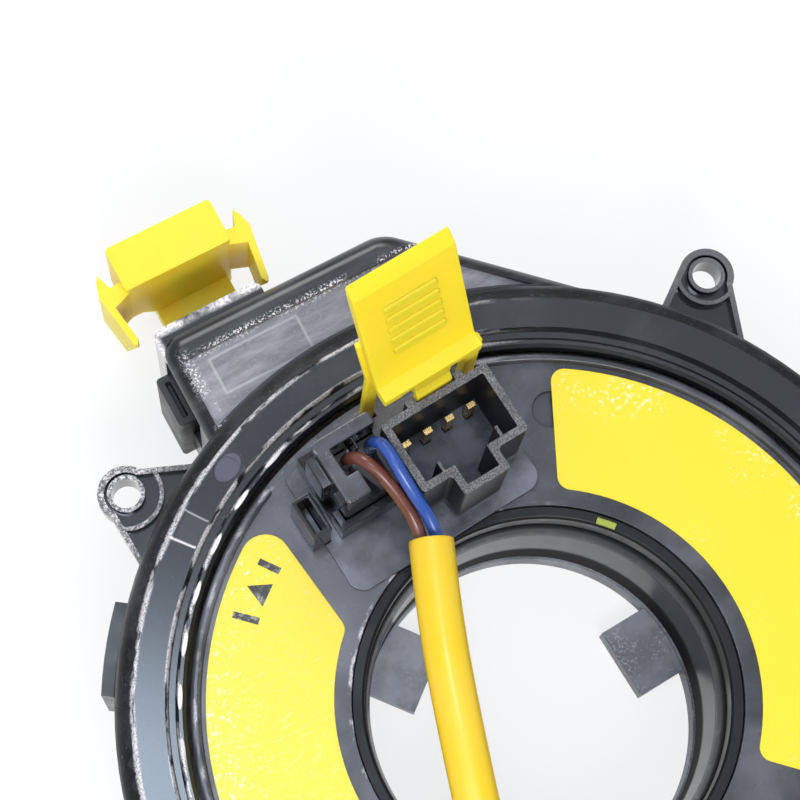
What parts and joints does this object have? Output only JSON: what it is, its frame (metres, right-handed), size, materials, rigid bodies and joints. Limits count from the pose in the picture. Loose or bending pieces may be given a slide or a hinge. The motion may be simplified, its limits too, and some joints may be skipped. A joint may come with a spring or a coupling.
{
  "type": "steering clock spring",
  "caption": "Ring-shaped rotary cable unit for a steering column, with a turning centre, sockets, a short lead and a pull-out lock tab.",
  "frame": {"origin": "on the turning axis, in the plane of the rear face of the cancel ring", "axes": "+Z along the turning axis towards the driver, +Y from the axis out through the harness bay's far wall"},
  "size_m": [0.1008, 0.1319, 0.06],
  "materials": {
    "case_black": "glossy moulded black with bright scuffed edges",
    "lower_black": "satin moulded black",
    "header_yellow": "smooth moulded yellow",
    "contact_gold": "thin gold plating",
    "header_black": "fine grained black",
    "block_grey": "plain moulded grey",
    "slip_film": "thin low friction film",
    "ribbon_film": "laminated film",
    "rotor_black": "semi gloss black",
    "bore_grey": "smooth dark grey",
    "bezel_black": "gloss black",
    "index_green": "painted yellow green",
    "cancel_grey": "satin blue grey",
    "socket_black": "grainy matte black",
    "plug_black": "smooth glossy black",
    "label_yellow": "printed yellow film, rubbed in places",
    "tab_yellow": "smooth moulded yellow",
    "wire_brown": "smooth insulation",
    "wire_blue": "smooth insulation",
    "lead_yellow": "soft smooth sleeve"
  },
  "bodies": {
    "stator": {"upper_case": "case_black", "lower_case": "lower_black", "airbag_header": "header_yellow", "airbag_header_pins": "contact_gold", "body_connector": "header_black", "body_connector_pins": "contact_gold", "stator_terminal_block": "block_grey", "slip_sheet": "slip_film", "flat_cable": "ribbon_film"},
    "rotor": {"rotor_disc": "rotor_black", "rotor_terminal_block": "block_grey", "hub_sleeve": "bore_grey", "hub_bezel": "bezel_black", "index_mark": "index_green", "cancel_ring": "cancel_grey", "connector_base": "rotor_black", "switch_socket": "socket_black", "socket_pins": "contact_gold", "plug_tray": "plug_black", "lead_plug": "plug_black", "latch_keeper": "plug_black", "label_right": "label_yellow", "label_left": "label_yellow", "brown_wire": "wire_brown", "blue_wire": "wire_blue", "lead_sleeve": "lead_yellow", "squib_connector": "header_yellow"},
    "tab": {"lock_tab": "tab_yellow"}
  },
  "joints": [
    {"name": "rotor_spin", "type": "hinge", "parent": "stator", "child": "rotor", "pos_m": [0, 0, 0], "axis": [0, 0, 1], "range_deg": [-864, 864], "deforming": ["flat_cable"]},
    {"name": "tab_pull", "type": "slide", "parent": "rotor", "child": "tab", "axis": [0, 0, 1], "range_m": [0, 0.02]}
  ]
}
